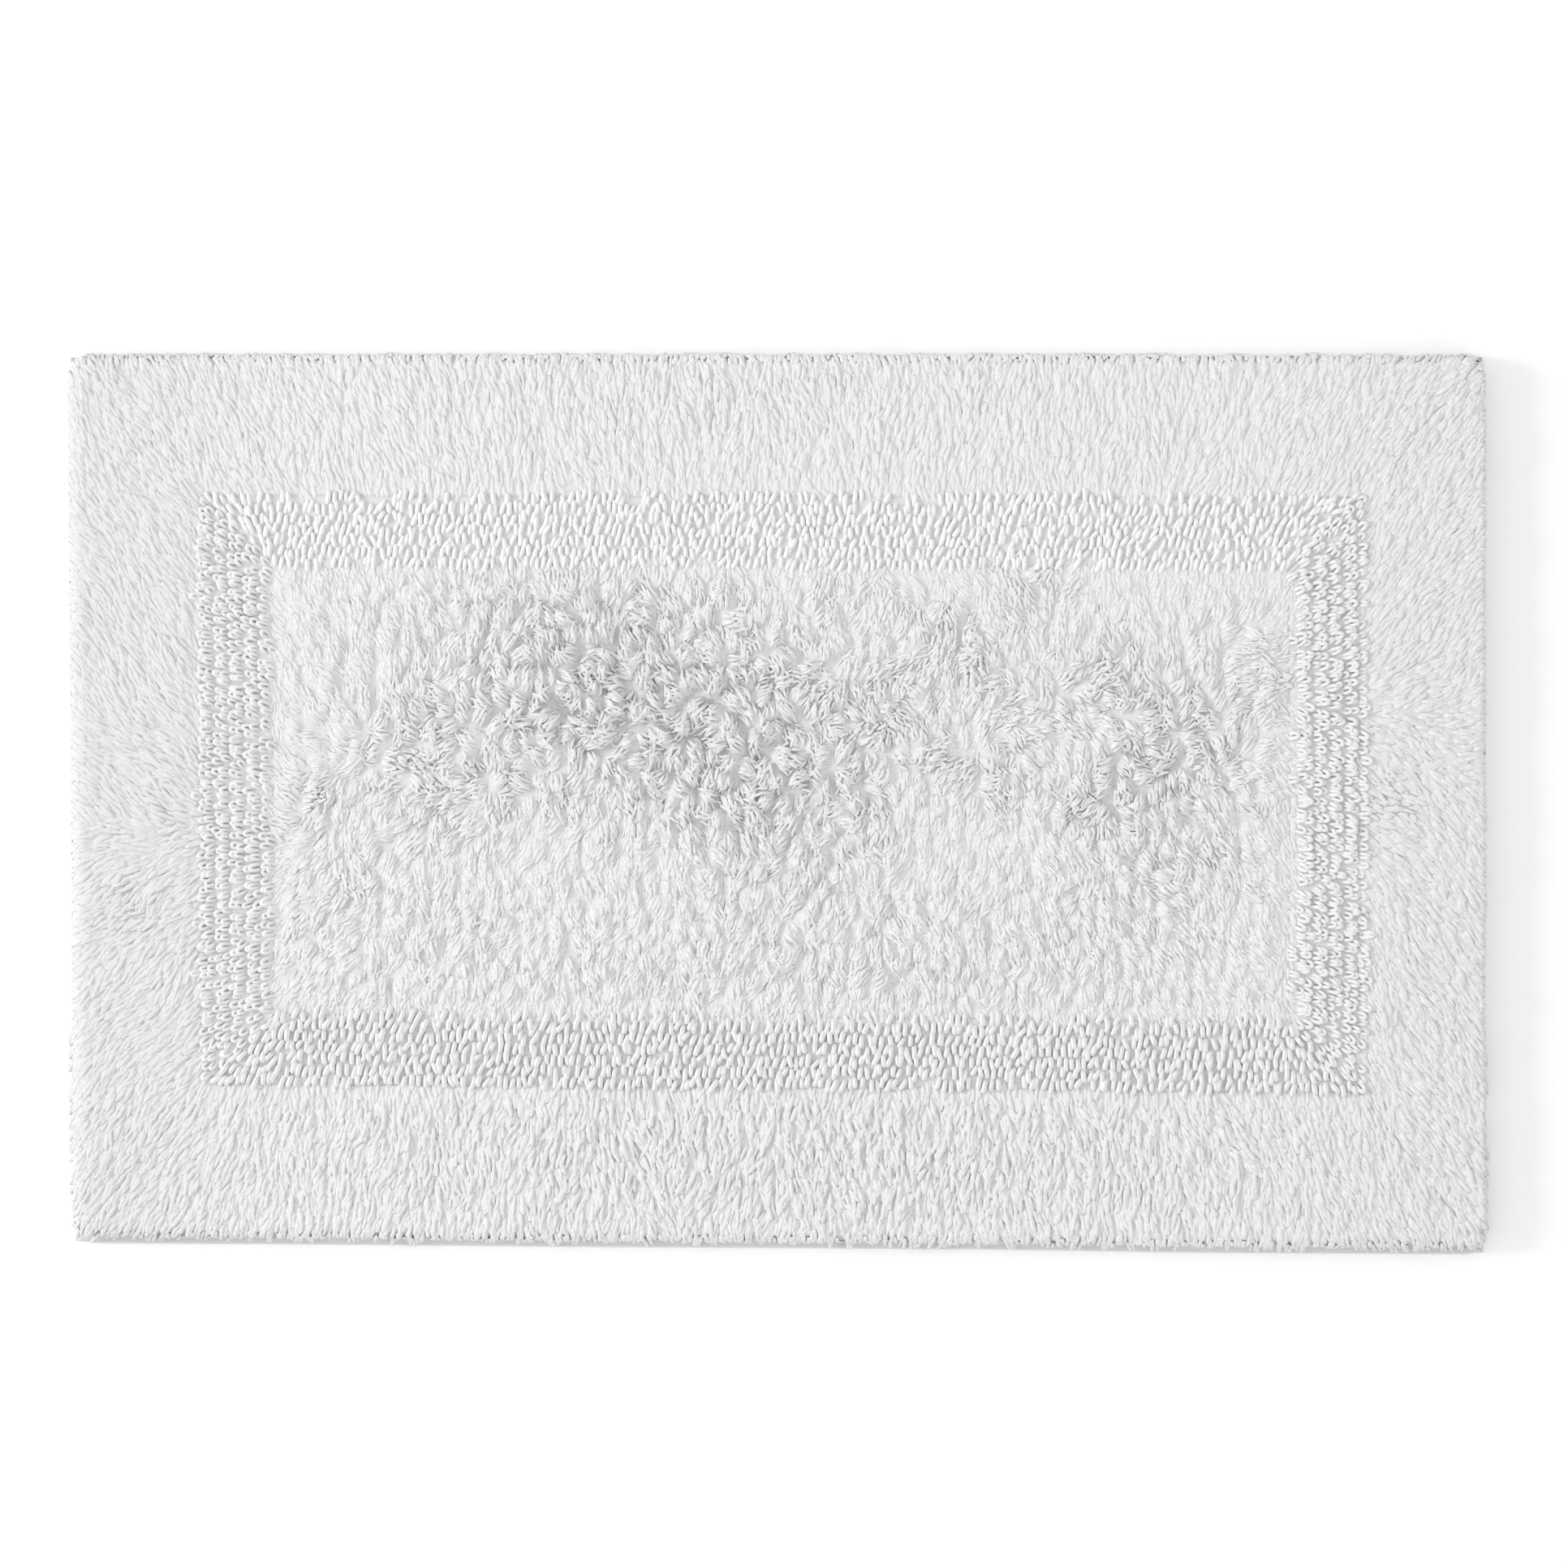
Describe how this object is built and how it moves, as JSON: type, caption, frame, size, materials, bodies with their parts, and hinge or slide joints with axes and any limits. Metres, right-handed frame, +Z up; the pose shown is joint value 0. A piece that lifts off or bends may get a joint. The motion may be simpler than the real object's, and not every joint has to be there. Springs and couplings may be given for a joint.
{
  "type": "bath mat",
  "caption": "Rectangular tufted cotton bath mat with cut pile, a sculpted frame of looped pile, a turned hem and a non-slip latex underside.",
  "frame": {"origin": "centre of the underside, on the floor that the mat lies on", "axes": "+X along the mat's length, +Y across its width towards the back edge, +Z up out of the pile"},
  "size_m": [0.8, 0.505, 0.0199],
  "materials": {
    "backing_cloth": "matte",
    "latex_coating": "matte",
    "hem_cloth": "matte",
    "stitch_thread": "matte",
    "cut_pile": "matte",
    "loop_pile": "matte"
  },
  "bodies": {
    "root": {"backing_cloth": "backing_cloth", "latex_coating": "latex_coating", "hem_front": "hem_cloth", "hem_back": "hem_cloth", "hem_left": "hem_cloth", "hem_right": "hem_cloth", "hem_stitching_front": "stitch_thread", "hem_stitching_back": "stitch_thread", "hem_stitching_left": "stitch_thread", "hem_stitching_right": "stitch_thread", "cut_pile_centre": "cut_pile", "loop_pile_front": "loop_pile", "loop_pile_back": "loop_pile", "loop_pile_left": "loop_pile", "loop_pile_right": "loop_pile", "cut_pile_border_front": "cut_pile", "cut_pile_border_back": "cut_pile", "cut_pile_border_left": "cut_pile", "cut_pile_border_right": "cut_pile"}
  },
  "joints": []
}
